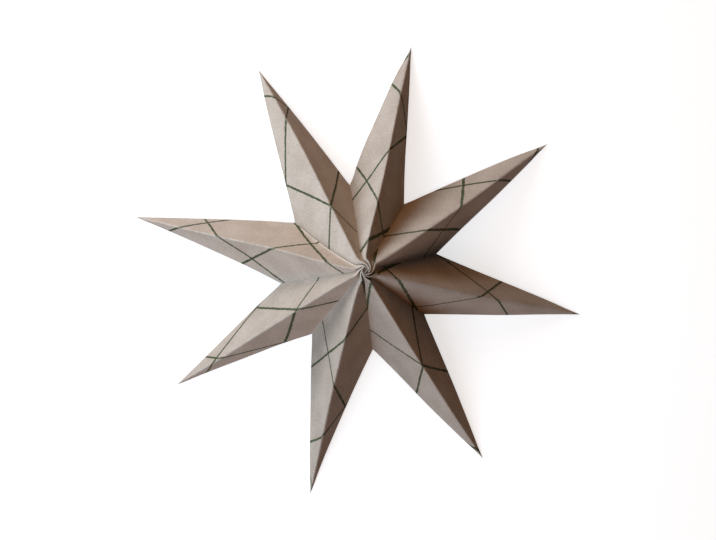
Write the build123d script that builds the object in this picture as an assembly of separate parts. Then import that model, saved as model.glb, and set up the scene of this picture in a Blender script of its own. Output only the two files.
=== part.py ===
from build123d import *
from math import atan2, cos, degrees, radians, sin, sqrt, tan
import os

os.makedirs("parts", exist_ok=True)

# Driving dimensions, in millimetres and degrees.
# The star has eight points. Each is one square of kraft paper, kite folded and creased into a roof.

paper = 0.25            # thickness of one layer of paper
square_side = 85.5      # side of the square that each point is folded from
corner_angle = 45.0     # half of the square's corner, which lies at the centre of the star
apex_height = 44.0      # from the level of the tips up to the centre
notch_height = 1.5      # from the level of the tips up to the notches between points
flap_gap = 0.5          # from the raw edge of a flap to the place where it would meet the other flap
core_radius = 3.0       # around the centre, where the glue tabs stop short
mean_tip_reach = 112.9  # from the centre to a tip, seen from above
mean_notch_reach = 40.1 # from the centre to a notch, seen from above
curl_start = 5.0        # from the centre to where the pinched tip of a point leaves its ridge
curl_end = 1.6          # from the centre to the end of that tip
curl_turn = 80.0        # how far round the centre it curls, clockwise
curl_bend = 1.3         # how late it bends: 1 is evenly along its length
curl_height = 0.8       # how far it stands up at its end
curl_clear = 0.2        # from the mean ridge up to its end, so that it passes over the neighbours
curl_sink = 0.25        # how deep it is rooted in its own ridge

# The star is folded by hand, so each point has its own bearing, clockwise from the top.
tip_bearing = [332.5, 12.1, 55.4, 101.3, 147.4, 193.4, 238.6, 283.4]
notch_bearing = [351.2, 31.4, 76.7, 125.2, 172.9, 219.2, 261.5, 305.5]

# How much further than the mean each tip reaches, and the notch clockwise of it.
tip_error = [0.5, 2.1, -0.8, -2.3, -1.8, 1.5, -3.5, 4.1]
notch_error = [3.4, -0.9, -2.5, -2.7, -0.8, 0.3, 1.3, 1.6]

# How far the raw edge of each point stops short of the clockwise valley. Only the last one shows.
edge_gap = [0, 0, 0, 0, 0, 0, 0, 0.8]

points = len(tip_bearing)
apex = Vector(0, 0, apex_height)
spare = 16 * paper      # beyond a valley, until the neighbouring face trims it


def on_ring(bearing, reach, height):
    """A place given by its clockwise bearing, its reach from the centre and its height."""
    return Vector(reach * sin(radians(bearing)), reach * cos(radians(bearing)), height)


tips = [on_ring(b, mean_tip_reach + e, 0) for b, e in zip(tip_bearing, tip_error)]
notches = [on_ring(b, mean_notch_reach + e, notch_height) for b, e in zip(notch_bearing, notch_error)]


def face_plane(tip, notch):
    """The outer surface between a ridge and a valley, with X down the ridge and Z outwards."""
    normal = (tip - apex).cross(notch - apex)
    if normal.Z < 0:
        normal = -normal
    return Plane(origin=apex, x_dir=tip - apex, z_dir=normal)


right_planes = [face_plane(tips[i], notches[i]) for i in range(points)]
left_planes = [face_plane(tips[i], notches[i - 1]) for i in range(points)]


def layer(plane, corners, depth):
    """One thickness of paper with the given flat corners, lying at a depth behind a face."""
    flat = make_face(Polyline(*corners, close=True))
    return plane * Pos(0, 0, -depth) * extrude(flat, amount=-paper)


def face_corners(plane, tip, notch):
    """The flat corners of one half of the kite, with spare paper beyond the valley."""
    tip_flat = plane.to_local_coords(tip)
    notch_flat = plane.to_local_coords(notch)
    side = 1 if notch_flat.Y > 0 else -1
    across = Vector(-notch_flat.Y, notch_flat.X, 0).normalized() * (side * spare)
    along = (notch_flat - tip_flat).normalized() * (2 * spare)
    return [(0, 0), (tip_flat.X, 0), tuple(notch_flat + along)[:2], tuple(across)[:2]]


def ridge_clearance(i):
    """How far from the ridge the flaps of a point stop, so that they stay apart inside the fold."""
    fold = radians(right_planes[i].z_dir.get_angle(left_planes[i].z_dir))
    return 2 * paper * tan(fold / 2) + flap_gap


def flap_corners(plane, tip, notch, clear):
    """The flat corners of the flap: a side of the square lies along the ridge, the next crosses it."""
    tip_flat = plane.to_local_coords(tip)
    notch_flat = plane.to_local_coords(notch)
    slope = notch_flat.Y / (tip_flat.X - notch_flat.X)
    side = 1 if slope > 0 else -1
    end = tip_flat.X - square_side
    start = tip_flat.X - clear / abs(slope)
    return [(end, side * clear), (start, side * clear), (end, slope * square_side)]


def tab_corners(plane, own_plane, notch):
    """The flat corners of the glue tab: the rest of the square's corner, bent at the valley."""
    own_notch = own_plane.to_local_coords(notch)
    rest = corner_angle - degrees(atan2(abs(own_notch.Y), own_notch.X))
    valley = plane.to_local_coords(notch)
    side = 1 if valley.Y > 0 else -1
    turn = radians(degrees(atan2(valley.Y, valley.X)) - side * rest)
    length = square_side * (2 - sqrt(2))
    outer = (length * cos(turn), length * sin(turn))
    across = Vector(-valley.Y, valley.X, 0).normalized() * (side * spare)
    beyond = valley + across
    return [(0, 0), outer, (valley.X, valley.Y), (beyond.X, beyond.Y), (across.X, across.Y)]


def cut_back(half, plane, i):
    """Stops the raw edge of a point short of its valley."""
    valley = (notches[i] - apex).normalized()
    inwards = valley.cross(plane.z_dir)
    if inwards.dot(tips[i] - apex) < 0:
        inwards = -inwards
    edge = Plane(origin=apex + inwards * edge_gap[i], x_dir=valley, z_dir=inwards)
    return split(half, bisect_by=edge, keep=Keep.TOP)


def right_half(i):
    """The half of a point whose raw edge lies along the clockwise valley, on the next point."""
    plane = right_planes[i]
    front = layer(plane, face_corners(plane, tips[i], notches[i]), 0)
    flap = layer(plane, flap_corners(plane, tips[i], notches[i], ridge_clearance(i)), paper)
    half = split(front + flap, bisect_by=left_planes[(i + 1) % points], keep=Keep.TOP)
    if edge_gap[i] > 0:
        half = cut_back(half, plane, i)
    return split(half, bisect_by=left_planes[i], keep=Keep.BOTTOM)


def left_half(i):
    """The half of a point that ends at the other valley, where its tab starts."""
    plane = left_planes[i]
    front = layer(plane, face_corners(plane, tips[i], notches[i - 1]), 0)
    flap = layer(plane, flap_corners(plane, tips[i], notches[i - 1], ridge_clearance(i)), paper)
    half = split(front + flap, bisect_by=right_planes[i - 1], keep=Keep.TOP)
    return split(half, bisect_by=right_planes[i], keep=Keep.BOTTOM)


def glue_tab(i):
    """The strip under the neighbour's raw edge and the tab behind the neighbour's face and flap."""
    own = left_planes[i]
    neighbour = right_planes[i - 1]
    tab_top = 2 * paper
    strip = layer(own, face_corners(own, tips[i], notches[i - 1]), 0)
    strip = split(strip, bisect_by=neighbour, keep=Keep.BOTTOM)
    strip = split(strip, bisect_by=neighbour.offset(-tab_top - paper), keep=Keep.TOP)
    tab = layer(neighbour, tab_corners(neighbour, own, notches[i - 1]), tab_top)
    tab = split(tab, bisect_by=own.offset(-paper), keep=Keep.TOP)
    core = Pos(0, 0, apex_height) * Cylinder(core_radius, 4 * core_radius)
    return strip + tab - core


def under_cone(start_lift, end_lift):
    """Everything under a cone that runs above the ridges by one height where a curl starts, and ends."""
    start = apex_height * (1 - curl_start / mean_tip_reach) + start_lift
    end = apex_height * (1 - curl_end / mean_tip_reach) + end_lift
    slope = (start - end) / (curl_end - curl_start)
    base = 3 * curl_start
    top = end + slope * curl_end
    return Pos(0, 0, top - slope * base / 2) * Cone(base, 0, slope * base)


def curl(i, steps=12):
    """The pinched tip of a point: two layers of paper that stand up and curl round the centre."""
    path = []
    for k in range(steps + 1):
        part = k / steps
        reach = curl_start * (curl_end / curl_start) ** part
        place = on_ring(tip_bearing[i] + curl_turn * part**curl_bend, reach, 0)
        path.append((place.X, place.Y))
    seen = trace(Polyline(*path), line_width=2 * paper)
    standing = Pos(0, 0, apex_height - curl_start) * extrude(seen, 2 * curl_start)
    highest = under_cone(0, curl_clear + curl_height)
    lowest = under_cone(-curl_sink, curl_clear)
    return (standing & highest) - lowest


def star_point(i):
    """One folded square: two halves that meet at the ridge, the glue tab and the curled tip."""
    return right_half(i) + left_half(i) + glue_tab(i) + curl(i)


star = [star_point(i) for i in range(points)]
box = Compound(star).bounding_box()
stand = Pos(-box.center().X, -box.center().Y, -box.min.Z)
for i in range(points):
    export_step(stand * star[i], f"parts/point_{i + 1}.step")
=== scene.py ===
from math import atan2, cos, degrees, exp, hypot, log, pi, radians, sin, sqrt, tan

import bmesh
import bpy
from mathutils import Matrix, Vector, noise


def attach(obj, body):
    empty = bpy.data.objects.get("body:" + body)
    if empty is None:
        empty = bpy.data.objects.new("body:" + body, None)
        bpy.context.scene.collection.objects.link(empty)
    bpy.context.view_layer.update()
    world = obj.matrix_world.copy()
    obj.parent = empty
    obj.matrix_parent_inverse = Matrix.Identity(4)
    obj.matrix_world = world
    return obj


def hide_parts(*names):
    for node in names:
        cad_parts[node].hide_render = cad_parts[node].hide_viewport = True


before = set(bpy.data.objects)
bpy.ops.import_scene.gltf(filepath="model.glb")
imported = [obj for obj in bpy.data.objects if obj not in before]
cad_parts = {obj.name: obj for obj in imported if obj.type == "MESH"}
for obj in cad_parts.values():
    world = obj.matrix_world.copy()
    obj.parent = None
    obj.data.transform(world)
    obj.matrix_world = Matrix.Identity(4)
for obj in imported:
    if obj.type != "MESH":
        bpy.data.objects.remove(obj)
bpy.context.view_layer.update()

# Sizes of the star, in metres, apart from the reaches from its centre and their errors, which are in
# millimetres. The bearings run clockwise from the top of the star. Each notch is the one clockwise of
# its point.
MM = 0.001
PAPER = 0.25 * MM
SQUARE_SIDE = 85.5 * MM
CORNER_ANGLE = radians(45)  # half of the square's corner, which lies at the centre of the star
APEX_HEIGHT = 44.0 * MM
NOTCH_HEIGHT = 1.5 * MM
MEAN_TIP_REACH = 112.9
MEAN_NOTCH_REACH = 40.1
TIP_BEARING = [332.5, 12.1, 55.4, 101.3, 147.4, 193.4, 238.6, 283.4]
TIP_ERROR = [0.5, 2.1, -0.8, -2.3, -1.8, 1.5, -3.5, 4.1]
NOTCH_BEARING = [351.2, 31.4, 76.7, 125.2, 172.9, 219.2, 261.5, 305.5]
NOTCH_ERROR = [3.4, -0.9, -2.5, -2.7, -0.8, 0.3, 1.3, 1.6]
POINTS = len(TIP_BEARING)
NODES = [f"point_{i + 1}" for i in range(POINTS)]

# How far each ridge runs clockwise of the straight line to its tip, in millimetres, at these
# distances from the centre. It runs true at the tip again.
RIDGE_MARKS = [0, 15, 30, 50, 70, 90]
RIDGE_BOW = [
    [0, 0.25, 0.3, 1.0, 1.3, 1.0],
    [0, -1.1, -0.6, 0.1, 0.0, -0.3],
    [0, 1.5, 1.4, 1.45, 1.65, 0.9],
    [0, 0.9, 1.0, 1.2, 1.3, 0.6],
    [0, 0.0, 0.2, 0.6, 0.6, 0.6],
    [0, 1.1, 1.0, 1.15, 1.1, 0.7],
    [0, 0.7, 0.55, 0.45, 0.2, -0.3],
    [0, -0.5, 0.1, 0.7, 0.1, -0.2],
]

# How far the valley clockwise of each point runs clockwise of its straight line, in millimetres, at a
# quarter, a half and three quarters of the way from the centre to the notch. Only the last one bows.
VALLEY_BOW = [(0, 0, 0)] * 7 + [(-0.7, -1.2, -1.0)]

# How far each long folded edge bows outwards, in millimetres, at a quarter, a half and three quarters
# of the way from tip to notch: first the anticlockwise edge of a point, then the clockwise one.
EDGE_BOW = [
    [(0.65, 0.45, 0.2), (0.35, 0.55, 0.4)],
    [(1.65, 1.5, 1.6), (0.15, -0.05, -0.4)],
    [(0.9, 0.75, 0.4), (0.5, 0.5, 0.0)],
    [(0.45, 0.25, -0.05), (0.1, 0.55, 0.2)],
    [(0.33, 0.5, 0.25), (0.55, 0.7, 0.1)],
    [(-0.8, -0.85, -0.65), (0.55, 0.4, 0.45)],
    [(-0.45, -0.45, -0.7), (0.1, 0.3, 0.5)],
    [(-0.5, -0.75, -0.75), (0.3, 0.45, 0.5)],
]
QUARTERS = (0, 0.25, 0.5, 0.75, 1)
BOW_ROUNDING = 0.08         # how far the corners of a bow are rounded, as a share of its length

# Half the width of the rounded ridge crease of each point, out towards its tip and at the centre.
CREASE_OUTSIDE = [1.5 * MM, 1.8 * MM, 1.8 * MM, 2.8 * MM, 1.6 * MM, 1.7 * MM, 1.7 * MM, 1.0 * MM]
CREASE_AT_CENTRE = [1.6 * MM, 1.5 * MM, 2.3 * MM, 3.4 * MM, 1.4 * MM, 1.2 * MM, 1.2 * MM, 1.1 * MM]
CREASE_CHANGE = 0.45        # the share of the ridge over which it changes from the one to the other
CREASE_LARGEST = 0.35       # the most of the narrower face that it takes up

# How far the raw edge of each point stands off the next point, and stops short of the valley.
EDGE_LIFT = [0.25 * MM, 0.35 * MM, 0.25 * MM, 0.25 * MM, 0.3 * MM, 0.2 * MM, 0.3 * MM, 0.9 * MM]
EDGE_GAP = [0, 0, 0, 0, 0, 0, 0, 0.8 * MM]
EDGE_BAND = 2.5 * MM        # how broad the strip is that is lifted
LIFT_FROM_CENTRE = 8 * MM   # the lift grows over this stretch from the centre
LIFT_TO_NOTCH = 4 * MM      # and dies out over this one before the notch
GAP_TO_NOTCH = 3 * MM       # as the gap does over this one
GAP_NARROWEST = 0.6         # the least of the face that the gap leaves

# How much each hand-folded face bulges, and how uneven it is.
BULGE = 0.45 * MM
BULGE_OUT = 0.6             # two faces of three bulge outwards by this share of it
BULGE_IN = -0.5             # and the third inwards by this one
UNEVEN = 0.16 * MM
UNEVEN_ALONG = 22 * MM      # the size of its hills and hollows
UNEVEN_ACROSS = 14 * MM
UNEVEN_FADE = 3 * MM        # how far from the ridge and the edge they reach their full height
UNEVEN_APART = 7.3          # keeps the points unlike each other

# The pinched tips stand up and curl clockwise round the centre, and twist the paper with them. The
# distances out are from the centre, and the turns in degrees.
CURL_START = 5.0 * MM       # where a pinched tip leaves its ridge
CURL_END = 1.6 * MM         # where it ends
CURL_TURN = 80.0            # how far round it curls
CURL_BEND = 1.3             # how late it bends: 1 is evenly
CURL_ONWARD = 1.3           # how far the twist goes on, where 1 is to the end of the tip
CURL_TIGHTEST = 75.0        # the bearing at which the curl is tightest
CURL_SPREAD = 90.0          # how wide the tight part is
CURL_EXTRA = 45.0           # how much further it curls there
CURL_EARLY = 2.0 * MM       # how much further out it starts there
CURL_SINK = 0.25 * MM       # how deep a tip is rooted in its own ridge
CURL_ROOT = 0.75 * MM       # how much lower it is where it starts
CURL_CLEAR = 0.2 * MM       # from the mean ridge up to its end, so that it passes over the neighbours
CURL_HEIGHT = 0.8 * MM      # how far it stands up at its end
CURL_LEAST = 0.05 * MM      # the least that it stands up
CURL_SHOULDER = 0.7         # the share of its height at which its two layers draw together
CURL_STEPS = 24
DIMPLE_DEPTH = 2.2 * MM     # how deep the paper sinks between the tips
DIMPLE_REACH = 2.6 * MM     # how far out it does
WHIRL_SHIFT = Vector((1.4 * MM, 0.3 * MM, 0))
WHIRL_REACH = 5.5 * MM      # how far out the whirl is shifted

# The layers of a folded square.
HEM_RADIUS = 0.13 * MM      # of the middle of the paper where it turns over a long edge
HEM_OUT = HEM_RADIUS + PAPER / 2
HEM_START = 4 * MM          # the stretch from the notch over which the turn gets its full room
HEM_STEPS = 4
EDGE_NARROWEST = 0.4        # the least of the face that the turn leaves
FLAP_GAP = 1.1 * MM         # from the raw edge of a flap to the ridge
FLAP_GAP_SHARE = 0.3        # and at most this share of the face
FLAP_INSET = 0.3 * MM       # how far a flap stays off the valley
LAYER_GAP = 0.04 * MM       # the air between two layers
TAB_START = 4.5 * MM        # from the centre to the start of a tab
TAB_BEND = 0.35 * MM        # from the valley to where the tab lies flat behind the neighbour
TAB_NARROWEST = 0.4 * MM
TAB_DEPTH = 2.5 * PAPER     # the middle of the tab, under a face and its flap
TAB_CLEAR = 0.2 * MM        # how far a tab stays off the neighbour's ridge
TIP_PRESSED = 9 * MM        # the stretch before a tip over which the layers are pressed thin
TIP_THIN = 0.22             # how thick they are at the tip, as a share of their thickness elsewhere
SHARP = radians(50)         # a fold sharper than this isn't shaded as a curve

# How finely a sheet is divided, from its first row near the centre to the last one before the tip.
START = 0.15 * MM
TIP_BLUNT = 0.25 * MM
FINE_STEP = 0.25 * MM
COARSE_STEP = 1.3 * MM
STEP_GROWTH = 0.12
FACE_COLUMNS = 12
FLAP_COLUMNS = 10
TAB_COLUMNS = 5
TOUCH = 1e-9                # nearer to each other than this is the same place
NUDGE = 0.01 * MM           # a small step, to find a direction
TINY = 0.1 * MM             # keeps what is divided by off zero

# The places of a piece's materials: in front, behind, and at the cut edges and pinched tips, which are
# paler;
# on the tips that is partly a painted highlight.
PRINTED_SIDE, PLAIN_SIDE, PALE_EDGE_AND_HIGHLIGHT_SIDE = range(3)

# Printed lines of each square: where each crosses the ridge, in millimetres from the centre, its angle
# to the ridge, and how broad it is on the anticlockwise face and on the clockwise one.
LINES = [
    [(91.1, 45.8, 1.1, 0.8), (38.6, 46.6, 1.0, 1.0), (105.2, 128.1, 0.9, 0.8), (38.8, 140.1, 1.0, 0.7)],
    [
        (119.2, 42, 1.0, 0.9), (66.0, 47.4, 1.15, 1.0), (16.6, 52, 1.5, 1.4), (96.9, 131.3, 1.0, 0.9),
        (38.3, 132.8, 1.0, 1.0),
    ],
    [
        (87.0, 46.5, 0.9, 1.0), (40.9, 45.2, 1.0, 1.3), (62.4, 132.8, 1.2, 0.7), (113.5, 137, 1.0, 1.0),
        (5.6, 134.7, 1.3, 1.3),
    ],
    [
        (74.0, 49.6, 0.8, 0.9), (19.5, 51.1, 1.2, 1.3), (64.2, 133.6, 1.0, 0.7), (117, 134, 1.2, 1.2),
        (6.3, 137.5, 1.4, 1.9),
    ],
    [(60.0, 47.5, 1.2, 1.0), (7.3, 44.5, 1.0, 1.15), (114.0, 133, 1.5, 1.2), (58.9, 133.9, 1.0, 0.9)],
    [
        (91.0, 52.2, 0.9, 1.0), (37.6, 43.1, 1.1, 1.0), (62.6, 133.3, 1.1, 0.8), (118.5, 140, 0.9, 0.9),
        (4.3, 139, 1.2, 1.3),
    ],
    [(89.7, 40.4, 0.9, 0.9), (40.2, 39.4, 1.1, 1.1), (95.0, 142.4, 0.9, 0.9), (42.3, 134.1, 1.2, 0.9)],
    [(79.3, 43.9, 1.1, 0.9), (19.0, 43.2, 1.0, 1.15), (100.7, 137.6, 1.0, 0.9), (49.5, 134.4, 1.1, 0.9)],
]
LINE_WIDTH = 1.42 * MM
LINE_HALF_THIN = 0.34 * LINE_WIDTH
LINE_HALF_THICK = 0.56 * LINE_WIDTH
LINE_SOFT = 0.18 * MM       # how broad the soft rim of a line is
LINE_WOBBLE = 0.5 * MM
LINE_KNOT = 1.5             # how much broader the ink has spread at the ridge

# The ridges are paler within the first distance, and not at all beyond the second: partly wear, and partly
# a painted highlight along the crease. The visible raw edge is paled in the same way, to a part of the full
# amount, and fades before the notch: partly the paler cut edge, and partly a painted highlight.
RIDGE_NEAR = 0.2 * MM
RIDGE_FAR = 1.3 * MM
RAW_NEAR = 0.25 * MM
RAW_FAR = 0.7 * MM
RAW_WEAR_AND_HIGHLIGHT = 0.7
RAW_TO_NOTCH = 2 * MM

PAPER_LIGHT = (0.575, 0.492, 0.420, 1)
PAPER_DARK = (0.480, 0.400, 0.332, 1)
PAPER_PALER = (0.68, 0.62, 0.56, 1)
# Pale paper of the cut edges, the pinched tips and the raw edge: on the tips and the raw edge partly a
# painted highlight.
PAPER_PALE_EDGE_AND_HIGHLIGHT = (0.80, 0.75, 0.68, 1)
FIBRE = (0.34, 0.265, 0.205, 1)
INK = (0.056, 0.078, 0.032, 1)
# The cut edges are paler paper; the pinched tips get the same pale colour, which there is partly a painted
# highlight.
PALE_EDGE_AND_HIGHLIGHT_SHARE = 0.8              # how much of the pinched tips' pale colour the cut edges have
GLOSS = 0.25
ROUGHNESS = (0.80, 0.93)    # it varies between these with the clouds
BUMP_STRENGTH = 0.5
BUMP_HEIGHT = 0.10 * MM

# How light the paper of each square is, against the mean: partly the squares' own tone, and partly painted
# light, lightest at the left near the window and darkest at the bottom.
SQUARE_TONE_AND_LIGHT = [1.03, 0.98, 0.99, 0.93, 0.98, 0.88, 0.97, 1.11]

# Patterns of the paper and the print: how many spots to the metre, how much finer detail they have,
# and how strong that is.
CLOUDS = (70.0, 4.0, 0.6)
GRAIN = (1500.0, 3.0, 0.65)
FIBRES = (2600.0, 2.0, 0.6)
FIBRE_STRETCH = 0.25        # their breadth as a share of their length
WEAR_AND_HIGHLIGHT_SPOTS = (260.0, 4.0, 0.7)
WOBBLE = (90.0, 2.0, 0.5)
BREADTH = (420.0, 3.0, 0.6)
DRY_INK = (1100.0, 3.0, 0.7)

# The values of each pattern between which its effect goes from none to all.
CLOUD_BAND = (0.35, 0.68)
CLOUD_ROUGH_BAND = (0.3, 0.7)
GRAIN_BAND = (0.46, 0.62)
FIBRE_BAND = (0.53, 0.68)
WEAR_AND_HIGHLIGHT_BAND = (0.38, 0.66)
BREADTH_BAND = (0.25, 0.62)
DRY_BAND = (0.30, 0.52)

# How strong the effects are at the most, as a share.
GRAIN_PALE = 0.50
FIBRE_DARK = 0.55
# The ridge band below is partly wear and partly a painted highlight; the ink fades with it.
WEAR_AND_HIGHLIGHT_PALE = 0.65
GRAIN_BUMP = 0.6
FIBRE_BUMP = 0.4
DRY_LEFT = 0.55             # of the ink where it is driest
WORN_OFF = 0.7              # of the ink where the paper is most worn

# The lamps: azimuth anticlockwise from the right and elevation, in degrees, distance from the star's
# centre and size, in metres, power and colour. A wide window is at the left, and the walls above and
# below throw back warm light.
LAMPS = {
    "window_far": (140, 25, 0.55, 0.30, 2.08, (0.89, 0.95, 1.0)),
    "window_near": (215, 45, 0.55, 0.30, 1.75, (0.70, 0.85, 1.0)),
    "wall_above": (90, 35, 0.80, 0.50, 1.02, (1.0, 0.46, 0.14)),
    "wall_below": (270, 35, 0.80, 0.50, 0.80, (1.0, 0.36, 0.05)),
}
LAMP_TARGET = Vector((0, 0, 0.02))
ROOM_COLOUR = (1.0, 0.70, 0.50, 1)
ROOM_STRENGTH = 0.01
WHITE = (1, 1, 1, 1)

FLOOR_HALF = 6.0
FLOOR_DROP = 0.05 * MM
FLOOR_COLOUR = (0.75, 0.75, 0.75, 1)
FLOOR_GLOW = 0.70           # light of its own that only the camera sees

# The photograph looks straight down. It is 716 pixels wide, and a pixel is half a millimetre.
PHOTO_WIDTH = 716
PIXEL = 0.5 * MM
PHOTO_CENTRE = (358, 270)
STAR_CENTRE = (363.1, 271.1)
CAMERA_HEIGHT = 2.5
CAMERA_SENSOR = 36
CAMERA_SIGHT = 50


def shared_corner(one, other):
    """The centre of the star: the highest corner that two opposite points have in common."""
    def corners(node):
        return {tuple(round(c, 6) for c in v.co): v.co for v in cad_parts[node].data.vertices}

    mine, theirs = corners(one), corners(other)
    return max((mine[k] for k in mine if k in theirs), key=lambda c: c.z).copy()


APEX = shared_corner(NODES[0], NODES[POINTS // 2])


def on_ring(bearing, reach, drop):
    """A place given by its clockwise bearing, its reach from the centre and its drop below it."""
    b = radians(bearing)
    return APEX + Vector((reach * sin(b), reach * cos(b), -drop))


TIPS = [on_ring(b, (MEAN_TIP_REACH + e) * MM, APEX_HEIGHT) for b, e in zip(TIP_BEARING, TIP_ERROR)]
NOTCHES = [
    on_ring(b, (MEAN_NOTCH_REACH + e) * MM, APEX_HEIGHT - NOTCH_HEIGHT)
    for b, e in zip(NOTCH_BEARING, NOTCH_ERROR)
]


def smooth(t):
    """Rises from 0 to 1 as t does, with no corner at either end."""
    t = min(max(t, 0.0), 1.0)
    return t * t * (3 - 2 * t)


def between(x, marks, values):
    """A value read off a line through marks, with its corners rounded."""
    def straight(at):
        if at <= marks[0]:
            return values[0]
        for k in range(1, len(marks)):
            if at <= marks[k]:
                part = (at - marks[k - 1]) / (marks[k] - marks[k - 1])
                return values[k - 1] + (values[k] - values[k - 1]) * part
        return values[-1]

    reach = BOW_ROUNDING * (marks[-1] - marks[0])
    return sum(straight(x + reach * k) for k in (-1, -0.5, 0, 0.5, 1)) / 5


def clockwise_of(bearing):
    """The level direction that runs clockwise across a bearing."""
    return Vector((cos(radians(bearing)), -sin(radians(bearing)), 0))


def pressed(to_tip):
    """How thick the sharply folded layers are near a tip, as a share of their thickness elsewhere."""
    return TIP_THIN + (1 - TIP_THIN) * smooth(to_tip / TIP_PRESSED)


class Face:
    """One flat half of a point: X runs down the ridge, Y across it to the notch, Z out of the paper."""

    def __init__(self, point, side):
        valley = point if side > 0 else point - 1
        tip, notch = TIPS[point], NOTCHES[valley]
        self.point = point
        self.side = side
        self.clockwise = clockwise_of(TIP_BEARING[point])
        self.valley_clockwise = clockwise_of(NOTCH_BEARING[valley])
        self.ridge_bow = RIDGE_BOW[point] + [0]
        self.edge_bow = (0, *EDGE_BOW[point][0 if side < 0 else 1], 0)
        self.valley_bow = (0, *VALLEY_BOW[valley], 0)
        self.along = (tip - APEX).normalized()
        self.length = (tip - APEX).length
        out = (tip - APEX).cross(notch - APEX).normalized()
        self.out = out if out.z > 0 else -out
        reach = notch - APEX
        self.notch_x = reach.dot(self.along)
        self.across = (reach - self.along * self.notch_x).normalized()
        self.notch_y = reach.dot(self.across)
        self.valley_angle = atan2(self.notch_y, self.notch_x)

    def place(self, x, y, lift):
        """Where a place on the flat face comes to lie, with the bows and lifted out of the paper."""
        flat = APEX + self.along * x + self.across * y + self.out * lift
        return flat + self.shift(x, y)

    def shift(self, x, y):
        """How the bows of the ridge, and of the folded edge or the valley, move the paper at a place."""
        part = min(max(y / max(self.whole(x), TINY), 0), 1)
        ridge = self.clockwise * between(x / MM, RIDGE_MARKS + [self.length / MM], self.ridge_bow)
        if x > self.notch_x:
            # The bow of an edge dies out in the last sixth to the tip and the last eighth to the notch.
            down = (self.length - x) / (self.length - self.notch_x)
            bow = self.side * between(down, QUARTERS, self.edge_bow) * smooth(6 * down)
            edge = self.clockwise * (bow * smooth(8 * (1 - down)))
        else:
            edge = self.valley_clockwise * between(x / self.notch_x, QUARTERS, self.valley_bow)
        return (ridge * (1 - part) + edge * part) * MM

    def whole(self, x):
        """How far it is across to the valley, or to the folded long edge."""
        if x < self.notch_x:
            return self.notch_y * x / self.notch_x
        return self.notch_y * (self.length - x) / (self.length - self.notch_x)

    def edge(self, x):
        """How far the paper itself reaches across, with room for the turn of the hem."""
        whole = self.whole(x)
        if x < self.notch_x:
            return whole
        hem = HEM_OUT * smooth((x - self.notch_x) / HEM_START) * pressed(self.length - x)
        return max(whole - hem, EDGE_NARROWEST * whole)


def faces_of(point):
    """The faces of a point by side: 1 is the clockwise one, -1 the other."""
    return {1: Face(point, 1), -1: Face(point, -1)}


def crease_width(face, x, narrower):
    """Half the width of the rounded ridge, where the narrower of the two faces is this wide."""
    outside = CREASE_OUTSIDE[face.point]
    near = 1 - smooth(x / (CREASE_CHANGE * face.length))
    return min(outside + (CREASE_AT_CENTRE[face.point] - outside) * near, CREASE_LARGEST * narrower)


def belly(face, x, y):
    """The slight bulge and unevenness of a hand-folded face."""
    edge = face.edge(x)
    u = x / face.length
    v = y / max(edge, MM)
    bulge = BULGE * sin(pi * min(max(u, 0), 1)) * sin(pi * min(max(v, 0), 1))
    share = BULGE_OUT if (face.point + face.side) % 3 else BULGE_IN
    apart = UNEVEN_APART * face.point + face.side
    hill = noise.noise(Vector((x / UNEVEN_ALONG, face.side * y / UNEVEN_ACROSS, apart)))
    return bulge * share + UNEVEN * hill * smooth(y / UNEVEN_FADE) * smooth((edge - y) / UNEVEN_FADE)


def tightness(bearing):
    """How much of the extra curl the paper has in a direction: most towards CURL_TIGHTEST."""
    off = (bearing - CURL_TIGHTEST + 180) % 360 - 180
    return exp(-((off / CURL_SPREAD) ** 2))


def curl_start(bearing):
    """How far from the centre the paper starts to curl in a direction."""
    return CURL_START + CURL_EARLY * tightness(bearing)


def curl_turn(bearing, reach):
    """How far the paper has curled round the centre, in degrees, at a distance from it."""
    start = curl_start(bearing)
    part = log(start / max(reach, TINY)) / log(start / CURL_END)
    return (CURL_TURN + CURL_EXTRA * tightness(bearing)) * min(max(part, 0), CURL_ONWARD) ** CURL_BEND


def sunk(reach):
    """How deep the paper dips between the pinched tips at a distance from the centre."""
    return DIMPLE_DEPTH * exp(-((reach / DIMPLE_REACH) ** 2))


def whirl_shift(reach):
    """How far the whirl of pinched tips sits off the place that the ridges point to."""
    return WHIRL_SHIFT * exp(-((reach / WHIRL_REACH) ** 2))


def wrung(p):
    """Turns a place near the centre clockwise with the pinched tips, and sinks the very middle."""
    flat = p - APEX
    reach = hypot(flat.x, flat.y)
    turn = -radians(curl_turn(degrees(atan2(flat.x, flat.y)), reach))
    c, s = cos(turn), sin(turn)
    turned = Vector((c * flat.x - s * flat.y, s * flat.x + c * flat.y, flat.z - sunk(reach)))
    return APEX + turned + whirl_shift(reach)


def roof(faces, x, y, depth):
    """A place on the folded roof of a point: y is signed, and depth is measured into the paper."""
    left, right = faces[-1], faces[1]
    face = right if y >= 0 else left
    width = crease_width(face, x, min(right.edge(x), left.edge(x)))
    if abs(y) >= width:
        lift = belly(face, x, abs(y)) - depth
        if face is right and x < face.notch_x:
            near = 1 - (face.edge(x) - abs(y)) / EDGE_BAND
            lift += (
                EDGE_LIFT[face.point] * smooth(near)
                * smooth(x / LIFT_FROM_CENTRE) * smooth((face.notch_x - x) / LIFT_TO_NOTCH)
            )
        return wrung(face.place(x, abs(y), lift))

    # Across the crease the paper bends from one face to the other in a curve.
    t = (y + width) / (2 * width) if width > 0 else 0.5
    start = left.place(x, width, belly(left, x, width))
    end = right.place(x, width, belly(right, x, width))
    top = right.place(x, 0, 0)
    out = (left.out * (1 - t) + right.out * t).normalized()
    return wrung(start * (1 - t) ** 2 + top * (2 * t * (1 - t)) + end * t**2 - out * depth)


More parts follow.
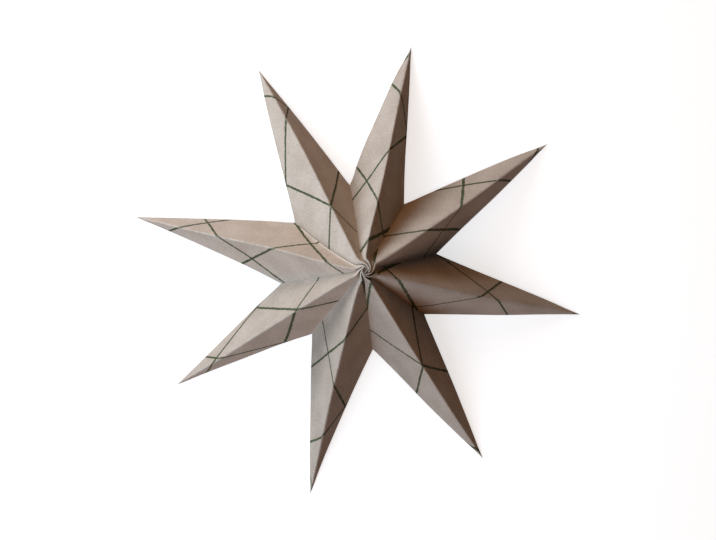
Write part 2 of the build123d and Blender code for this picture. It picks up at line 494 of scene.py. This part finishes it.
def rows(faces):
    """Where the paper is cut across, closer together towards the centre and at both notches."""
    length = faces[1].length
    marks = [faces[1].notch_x, faces[-1].notch_x, length - SQUARE_SIDE]
    x, found = START, []
    while x < length - TIP_BLUNT - COARSE_STEP / 2:
        found.append(x)
        x += min(COARSE_STEP, FINE_STEP + STEP_GROWTH * x)
    for mark in marks:
        nearest = min(range(len(found)), key=lambda k: abs(found[k] - mark))
        found[nearest] = mark
    return sorted(set(found)) + [length - TIP_BLUNT]


class Sheet:
    """A mesh under construction whose every corner also knows its place on the flat square."""

    def __init__(self, length):
        self.length = length
        self.mesh = bmesh.new()
        self.flat = self.mesh.verts.layers.float_vector.new("flat")
        self.weight = self.mesh.verts.layers.deform.verify()

    def corner(self, place, x, y):
        """A new corner, at a place on the star and at (x, y) on the flat square."""
        v = self.mesh.verts.new(place)
        v[self.flat] = Vector((x, y, 0))
        v[self.weight][0] = pressed(hypot(self.length - x, y))
        return v

    def fill(self, grid, flip=False, material=PRINTED_SIDE):
        """Joins rows of corners, except where a row repeats a corner."""
        for a, b in zip(grid, grid[1:]):
            for k in range(len(a) - 1):
                loop = [a[k], a[k + 1], b[k + 1], b[k]]
                if flip:
                    loop.reverse()
                if len(set(loop)) == 4:
                    self.mesh.faces.new(loop).material_index = material


def columns(width, edge):
    """Where a row has its corners on one side, from the ridge outwards."""
    inner = [0.0, width / 2, width]
    return inner + [width + (edge - width) * k / FACE_COLUMNS for k in range(1, FACE_COLUMNS + 1)]


def front(sheet, faces, xs):
    """The two faces of a point, in one piece over the ridge. Returns the corners row by row."""
    right = faces[1]
    grid = []
    for x in xs:
        edges = {s: faces[s].edge(x) for s in (1, -1)}
        if x < right.notch_x:
            short = EDGE_GAP[right.point] * smooth((right.notch_x - x) / GAP_TO_NOTCH)
            edges[1] = max(edges[1] - short, GAP_NARROWEST * edges[1])
        width = crease_width(right, x, min(edges.values()))
        line = [-y for y in reversed(columns(width, edges[-1])[1:])] + columns(width, edges[1])
        depth = PAPER / 2 * pressed(right.length - x)
        grid.append([sheet.corner(roof(faces, x, y, depth), x, y) for y in line])
    sheet.fill(grid)
    return grid


def mirrored(face, x, y):
    """The place on the flat square that comes to lie behind (x, y) when the long edge is folded."""
    slope = atan2(face.notch_y, face.length - face.notch_x)
    normal = Vector((sin(slope), cos(slope)))
    away = Vector((x - face.length, y)).dot(normal)
    return x - 2 * away * normal.x, face.side * (y - 2 * away * normal.y)


def hem(sheet, face, x, share, first):
    """One row of the turn over a long edge, from the corner that it shares with the face."""
    edge = face.edge(x)
    radius = HEM_RADIUS * share
    line = [first]
    for k in range(1, HEM_STEPS):
        turn = pi * k / HEM_STEPS
        depth = PAPER / 2 * share + radius * (1 - cos(turn))
        bow = face.out * -depth + face.across * (radius * sin(turn))
        line.append(sheet.corner(wrung(face.place(x, edge, 0) + bow), x, face.side * edge))
    return line


def flap(sheet, faces, side, xs, grid):
    """The side of the square that is folded behind a face, from the long edge to the ridge."""
    face = faces[side]
    lines = []
    for x, row in zip(xs, grid):
        if x < face.length - SQUARE_SIDE - TOUCH:
            continue
        edge = face.edge(x)
        share = pressed(face.length - x)
        behind = PAPER / 2 * share + 2 * HEM_RADIUS * share
        if x >= face.notch_x - TOUCH:
            line = hem(sheet, face, x, share, row[-1] if side > 0 else row[0])
        else:
            edge -= FLAP_INSET
            held = sheet.corner(roof(faces, x, side * edge, behind), *mirrored(face, x, edge))
            line = [held] * HEM_STEPS
        inner = min(FLAP_GAP, FLAP_GAP_SHARE * edge)
        for k in range(FLAP_COLUMNS + 1):
            y = edge + (inner - edge) * k / FLAP_COLUMNS
            spring = LAYER_GAP * 2 * smooth(k / FLAP_COLUMNS) * share
            place = roof(faces, x, side * max(y, inner), behind + spring)
            line.append(sheet.corner(place, *mirrored(face, x, y)))
        lines.append(line)
    sheet.fill(lines, flip=side < 0)


def off_valley(angle, v, w):
    """The place on a face at a distance v along its valley, and w from it towards the ridge."""
    return v * cos(angle) + w * sin(angle), v * sin(angle) - w * cos(angle)


def tab(sheet, own, host_faces, xs, grid):
    """The rest of the square's corner, bent at the valley and glued behind the neighbour."""
    host = host_faces[1]
    rest = CORNER_ANGLE - own.valley_angle
    valley_length = hypot(own.notch_x, own.notch_y)
    # The kite fold leaves this much of the side of the square, and the tab is broadest where it ends.
    side_left = SQUARE_SIDE * (2 - sqrt(2))
    peak = side_left * cos(rest)
    lines = []
    for x, row in zip(xs, grid):
        if x > own.notch_x + TOUCH:
            break
        v = x / cos(own.valley_angle)
        if v < TAB_START:
            continue
        if v < peak:
            wide = v * tan(rest)
        else:
            wide = peak * tan(rest) * (valley_length - v) / (valley_length - peak)
        line = [row[0]]
        for k in range(TAB_COLUMNS):
            w = TAB_BEND + (max(wide, TAB_NARROWEST) - TAB_BEND) * k / (TAB_COLUMNS - 1)
            x_host, y_host = off_valley(host.valley_angle, v, w)
            x_own, y_own = off_valley(own.valley_angle, v, -w)
            depth = TAB_DEPTH + LAYER_GAP * (2 if k else 1)
            place = roof(host_faces, x_host, max(y_host, TAB_CLEAR), depth)
            line.append(sheet.corner(place, x_own, -y_own))
        lines.append(line)
    sheet.fill(lines, flip=True)


def curl(sheet, point):
    """The pinched tip of a point: a double layer that stands up and curls round the centre."""
    bearing = TIP_BEARING[point]
    start = curl_start(bearing)
    ridge = Vector((sin(radians(bearing)), cos(radians(bearing)), 0))
    apart = PAPER / 2
    grid = []
    for k in range(CURL_STEPS + 1):
        reach = start * (CURL_END / start) ** (k / CURL_STEPS)
        spine = wrung(APEX + ridge * reach)
        ahead = wrung(APEX + ridge * (reach - NUDGE)) - spine
        across = Vector((ahead.y, -ahead.x, 0)).normalized()
        spine.z = APEX.z
        inward = (start - reach) / (start - CURL_END)
        root = CURL_ROOT * (1 - inward) ** 2
        mean = -APEX_HEIGHT * reach / (MEAN_TIP_REACH * MM)
        low = mean - CURL_SINK + (CURL_SINK + CURL_CLEAR) * inward - sunk(reach) - 2 * root
        high = mean + (CURL_CLEAR + CURL_HEIGHT) * inward - PAPER / 2 - root
        high = max(high, low + CURL_LEAST)
        shoulder = low + (high - low) * CURL_SHOULDER
        section = ((-apart, low), (-apart, shoulder), (0, high), (apart, shoulder), (apart, low))
        grid.append([sheet.corner(spine + across * w + Vector((0, 0, z)), reach, w) for w, z in section])
    # The pinched tips take the pale paper: partly the pinch's wear, and partly a painted highlight.
    sheet.fill(grid, material=PALE_EDGE_AND_HIGHLIGHT_SIDE)


def thickened(piece):
    """The mesh of a piece whose sheet is given the paper's thickness."""
    thick = piece.modifiers.new("thickness", "SOLIDIFY")
    thick.vertex_group = "pressed"
    thick.thickness = PAPER
    thick.offset = 0
    thick.material_offset = PLAIN_SIDE
    thick.material_offset_rim = PALE_EDGE_AND_HIGHLIGHT_SIDE
    solid = bpy.data.meshes.new_from_object(piece.evaluated_get(bpy.context.evaluated_depsgraph_get()))
    piece.modifiers.clear()
    solid.set_sharp_from_angle(angle=SHARP)
    return solid


def paper_piece(point):
    """One folded square as a closed mesh of the paper's thickness."""
    faces = faces_of(point)
    sheet = Sheet(faces[1].length)
    xs = rows(faces)
    grid = front(sheet, faces, xs)
    for side in (1, -1):
        flap(sheet, faces, side, xs, grid)
    tab(sheet, faces[-1], faces_of(point - 1), xs, grid)
    curl(sheet, point)

    bm = sheet.mesh
    uv = bm.loops.layers.uv.new("sheet")
    for f in bm.faces:
        f.smooth = True
        for loop in f.loops:
            loop[uv].uv = loop.vert[sheet.flat].xy
    name = f"folded_point_{point + 1}"
    flat = bpy.data.meshes.new(name + "_sheet")
    bm.to_mesh(flat)
    bm.free()

    piece = bpy.data.objects.new(name, flat)
    bpy.context.scene.collection.objects.link(piece)
    for material in (printed_paper(point), PLAIN, PALE_EDGE_AND_HIGHLIGHT_PAPER):
        flat.materials.append(material)
    piece.vertex_groups.new(name="pressed")
    piece.data = thickened(piece)
    piece.data.name = name
    bpy.data.meshes.remove(flat)
    return piece


class Nodes:
    """A material with short ways to add shader nodes and join them."""

    def __init__(self, name):
        self.material = bpy.data.materials.new(name)
        self.material.use_nodes = True
        self.tree = self.material.node_tree
        self.shader = self.tree.nodes["Principled BSDF"]

    def add(self, kind, **settings):
        """A new shader node."""
        node = self.tree.nodes.new("ShaderNode" + kind)
        for key, value in settings.items():
            setattr(node, key, value)
        return node

    def feed(self, socket, value):
        """Joins a socket to another node's output, or sets it to a constant."""
        if isinstance(value, bpy.types.NodeSocket):
            self.tree.links.new(value, socket)
        else:
            socket.default_value = value

    def math(self, operation, *values):
        """The outcome of a sum, product or other operation."""
        node = self.add("Math", operation=operation)
        for socket, value in zip(node.inputs, values):
            self.feed(socket, value)
        return node.outputs[0]

    def noise(self, place, scale, detail, roughness):
        """A pattern of soft spots."""
        node = self.add("TexNoise")
        self.feed(node.inputs["Vector"], place)
        self.feed(node.inputs["Scale"], scale)
        self.feed(node.inputs["Detail"], detail)
        self.feed(node.inputs["Roughness"], roughness)
        return node.outputs["Fac"]

    def range(self, value, low, high, to_low=0.0, to_high=1.0):
        """A value that goes smoothly from to_low to to_high as another goes from low to high."""
        node = self.add("MapRange", interpolation_type="SMOOTHSTEP")
        for socket, v in zip(node.inputs, (value, low, high, to_low, to_high)):
            self.feed(socket, v)
        return node.outputs[0]

    def mix(self, amount, a, b):
        """A colour between two others."""
        node = self.add("Mix", data_type="RGBA")
        self.feed(node.inputs[0], amount)
        self.feed(node.inputs[6], a)
        self.feed(node.inputs[7], b)
        return node.outputs[2]


class Kraft(Nodes):
    """Unprinted kraft paper, its place on the flat sheet, and its ridge paled by wear and a painted
    highlight.
    """

    def __init__(self, name, tone_and_light=1.0):
        super().__init__(name)
        self.flat = self.add("UVMap", uv_map="sheet").outputs[0]
        parts = self.add("SeparateXYZ")
        self.feed(parts.inputs[0], self.flat)
        self.along, self.across = parts.outputs[0], parts.outputs[1]
        self.off_ridge = self.math("ABSOLUTE", self.across)
        # A pale band along the ridge: partly wear, and partly a painted highlight.
        patchy = self.range(self.noise(self.flat, *WEAR_AND_HIGHLIGHT_SPOTS), *WEAR_AND_HIGHLIGHT_BAND)
        self.wear_and_highlight = self.math("MULTIPLY", self.range(self.off_ridge, RIDGE_FAR, RIDGE_NEAR), patchy)

        squeezed = self.add("Mapping")
        self.feed(squeezed.inputs["Vector"], self.flat)
        squeezed.inputs["Scale"].default_value = (FIBRE_STRETCH, 1, 1)
        clouds = self.noise(self.flat, *CLOUDS)
        grain = self.noise(self.flat, *GRAIN)
        fibres = self.noise(squeezed.outputs[0], *FIBRES)

        light, dark, pale_mix, fibre = (
            (*(c * tone_and_light for c in colour[:3]), 1) for colour in (PAPER_LIGHT, PAPER_DARK, PAPER_PALER, FIBRE)
        )
        colour = self.mix(self.range(clouds, *CLOUD_BAND), dark, light)
        colour = self.mix(self.range(grain, *GRAIN_BAND, 0.0, GRAIN_PALE), colour, pale_mix)
        colour = self.mix(self.range(fibres, *FIBRE_BAND, 0.0, FIBRE_DARK), colour, fibre)
        # Paler in the ridge band: wear and painted highlight.
        self.colour = self.mix(self.math("MULTIPLY", self.wear_and_highlight, WEAR_AND_HIGHLIGHT_PALE), colour, pale_mix)

        bump = self.add("Bump")
        grains = self.math("MULTIPLY", grain, GRAIN_BUMP)
        height = self.math("ADD", grains, self.math("MULTIPLY", fibres, FIBRE_BUMP))
        self.feed(bump.inputs["Strength"], BUMP_STRENGTH)
        self.feed(bump.inputs["Distance"], BUMP_HEIGHT)
        self.feed(bump.inputs["Height"], height)
        self.feed(self.shader.inputs["Normal"], bump.outputs[0])
        self.feed(self.shader.inputs["Roughness"], self.range(clouds, *CLOUD_ROUGH_BAND, *ROUGHNESS))
        self.shader.inputs["Specular IOR Level"].default_value = GLOSS


def plain_paper(name, pale_mix=0.0):
    """Kraft paper without print, as it is behind, or paler where it is cut or pinched; on the pinched tips
    partly a painted highlight.
    """
    n = Kraft(name)
    colour = n.mix(pale_mix, n.colour, PAPER_PALE_EDGE_AND_HIGHLIGHT) if pale_mix else n.colour
    n.feed(n.shader.inputs["Base Color"], colour)
    return n.material


def raw_edge_wear_and_highlight(n, point):
    """How pale the paper of a point is beside its raw edge, up to the notch: partly wear, partly a painted
    highlight.
    """
    face = Face(point, 1)
    s, c = sin(face.valley_angle), cos(face.valley_angle)
    inside = n.math("SUBTRACT", n.math("MULTIPLY", n.along, s), n.math("MULTIPLY", n.across, c))
    start = EDGE_GAP[point] * c
    beside = n.range(inside, start + RAW_FAR, start + RAW_NEAR, 0.0, RAW_WEAR_AND_HIGHLIGHT)
    return n.math("MULTIPLY", beside, n.range(n.along, face.notch_x, face.notch_x - RAW_TO_NOTCH))


def printed_paper(point):
    """Kraft paper with the printed lines of one square, slightly uneven, with wear and a painted highlight
    at the ridge.
    """
    # Each square's paper is made lighter or darker: partly its own tone, partly painted light.
    n = Kraft(f"kraft_paper_print_{point + 1}", SQUARE_TONE_AND_LIGHT[point])
    wobble = n.math("MULTIPLY", n.math("SUBTRACT", n.noise(n.flat, *WOBBLE), 0.5), LINE_WOBBLE)
    body = n.range(n.noise(n.flat, *BREADTH), *BREADTH_BAND, LINE_HALF_THIN, LINE_HALF_THICK)
    body = n.math("MULTIPLY", body, n.range(n.off_ridge, RIDGE_FAR, RIDGE_NEAR, 1.0, LINE_KNOT))
    clockwise = n.range(n.across, -RIDGE_NEAR, RIDGE_NEAR)
    ink = 0.0
    for crossing, angle, broad_left, broad_right in LINES[point]:
        s, c = sin(radians(angle)), cos(radians(angle))
        down = n.math("MULTIPLY", n.math("SUBTRACT", n.along, crossing * MM), s)
        off = n.math("SUBTRACT", n.math("MULTIPLY", n.across, c), down)
        off = n.math("ABSOLUTE", n.math("ADD", off, wobble))
        reach = n.math("MULTIPLY", body, n.range(clockwise, 0, 1, broad_left, broad_right))
        ink = n.math("MAXIMUM", ink, n.range(off, reach, n.math("SUBTRACT", reach, LINE_SOFT)))
    dry = n.range(n.noise(n.flat, *DRY_INK), *DRY_BAND, DRY_LEFT, 1.0)
    left = n.math("SUBTRACT", 1.0, n.math("MULTIPLY", n.wear_and_highlight, WORN_OFF))
    ink = n.math("MULTIPLY", n.math("MULTIPLY", ink, dry), left)
    # The raw edge gets a pale band: partly the paler cut edge, partly a painted highlight.
    colour = n.mix(raw_edge_wear_and_highlight(n, point), n.colour, PAPER_PALE_EDGE_AND_HIGHLIGHT) if EDGE_GAP[point] else n.colour
    n.feed(n.shader.inputs["Base Color"], n.mix(ink, colour, INK))
    return n.material


def pale_floor():
    """A plain white floor that keeps the star's shadow and shows white to the camera."""
    mesh = bpy.data.meshes.new("floor")
    corners = [(FLOOR_HALF * x, FLOOR_HALF * y, 0) for x, y in ((-1, -1), (1, -1), (1, 1), (-1, 1))]
    mesh.from_pydata(corners, [], [(0, 1, 2, 3)])
    floor = bpy.data.objects.new("floor", mesh)
    floor.location.z = -FLOOR_DROP
    bpy.context.scene.collection.objects.link(floor)
    n = Nodes("floor")
    n.tree.nodes.remove(n.shader)
    matt = n.add("BsdfDiffuse")
    matt.inputs["Color"].default_value = FLOOR_COLOUR
    glow = n.add("Emission")
    rays = n.add("LightPath")
    n.feed(glow.inputs["Strength"], n.math("MULTIPLY", rays.outputs["Is Camera Ray"], FLOOR_GLOW))
    both = n.add("AddShader")
    n.feed(both.inputs[0], matt.outputs[0])
    n.feed(both.inputs[1], glow.outputs[0])
    n.feed(n.tree.nodes["Material Output"].inputs["Surface"], both.outputs[0])
    mesh.materials.append(n.material)


def lamp(name, azimuth, elevation, distance, size, power, colour):
    """A square lamp that shines at the middle of the star."""
    a, e = radians(azimuth), radians(elevation)
    data = bpy.data.lights.new(name, "AREA")
    data.size = size
    data.energy = power
    data.color = colour
    light = bpy.data.objects.new(name, data)
    light.location = Vector((cos(e) * cos(a), cos(e) * sin(a), sin(e))) * distance
    light.rotation_euler = (LAMP_TARGET - light.location).to_track_quat("-Z", "Y").to_euler()
    bpy.context.scene.collection.objects.link(light)


def background(tree, colour, strength):
    """A background shader of one colour."""
    node = tree.nodes.new("ShaderNodeBackground")
    node.inputs["Color"].default_value = colour
    node.inputs["Strength"].default_value = strength
    return node


def room_light():
    """The lamps, in a dim warm room that shows white to the camera."""
    world = bpy.data.worlds.new("room")
    bpy.context.scene.world = world
    world.use_nodes = True
    tree = world.node_tree
    tree.nodes.clear()
    rays = tree.nodes.new("ShaderNodeLightPath")
    dim = background(tree, ROOM_COLOUR, ROOM_STRENGTH)
    white = background(tree, WHITE, 1)
    pick = tree.nodes.new("ShaderNodeMixShader")
    out = tree.nodes.new("ShaderNodeOutputWorld")
    tree.links.new(rays.outputs["Is Camera Ray"], pick.inputs[0])
    tree.links.new(dim.outputs[0], pick.inputs[1])
    tree.links.new(white.outputs[0], pick.inputs[2])
    tree.links.new(pick.outputs[0], out.inputs[0])
    for name, settings in LAMPS.items():
        lamp(name, *settings)


def photo_camera():
    """A camera high above the star, with the photograph's frame."""
    data = bpy.data.cameras.new("camera")
    data.sensor_width = CAMERA_SENSOR
    data.lens = data.sensor_width * CAMERA_HEIGHT / (PHOTO_WIDTH * PIXEL)
    data.clip_end = CAMERA_SIGHT
    camera = bpy.data.objects.new("camera", data)
    right = (PHOTO_CENTRE[0] - STAR_CENTRE[0]) * PIXEL
    up = (STAR_CENTRE[1] - PHOTO_CENTRE[1]) * PIXEL
    camera.location = (APEX.x + right, APEX.y + up, CAMERA_HEIGHT)
    bpy.context.scene.collection.objects.link(camera)
    bpy.context.scene.camera = camera


PLAIN = plain_paper("kraft_paper_back")
# Pale paper for the cut edges and the pinched tips, which on the tips is partly a painted highlight.
PALE_EDGE_AND_HIGHLIGHT_PAPER = plain_paper("kraft_paper_edge_and_painted_highlight", PALE_EDGE_AND_HIGHLIGHT_SHARE)
for i, node in enumerate(NODES):
    piece = paper_piece(i)
    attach(piece, "root")
    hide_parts(node)

pale_floor()
room_light()
photo_camera()
bpy.context.scene.view_settings.view_transform = "Standard"
